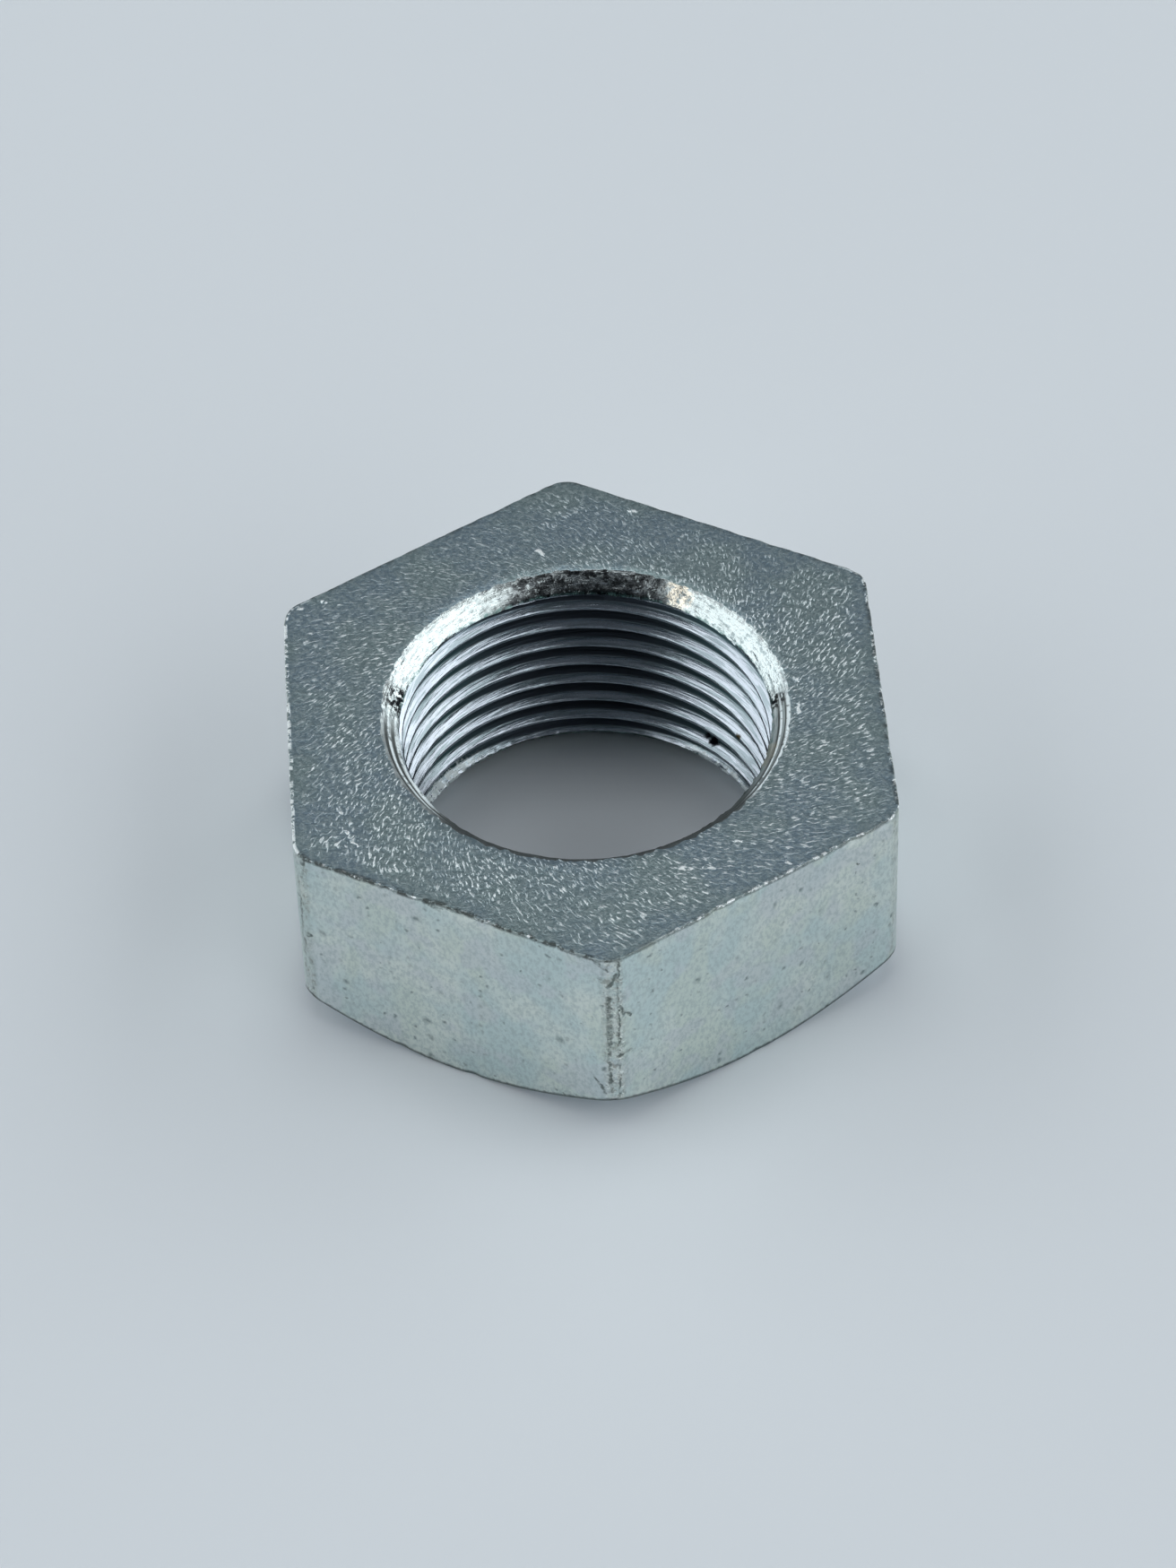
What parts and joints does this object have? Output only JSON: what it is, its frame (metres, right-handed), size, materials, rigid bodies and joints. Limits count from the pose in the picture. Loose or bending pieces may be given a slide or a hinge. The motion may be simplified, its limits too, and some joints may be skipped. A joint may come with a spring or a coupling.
{
  "type": "axle nut",
  "caption": "Thick zinc-plated steel hexagon nut with a countersunk fine-thread bore, flat on its upper face and chamfered round its bearing face.",
  "frame": {"origin": "on the bore's axis at the chamfered bearing face, which the nut stands on", "axes": "+Z along the bore's axis, from the chamfered bearing face to the flat upper face; two corners of the hexagon point along +Y and -Y, two flats face +X and -X"},
  "size_m": [0.034, 0.0388, 0.0135],
  "materials": {
    "zinc_plate": "satin bright zinc plating over forged and turned steel"
  },
  "bodies": {
    "root": {"axle_nut": "zinc_plate"}
  },
  "joints": []
}
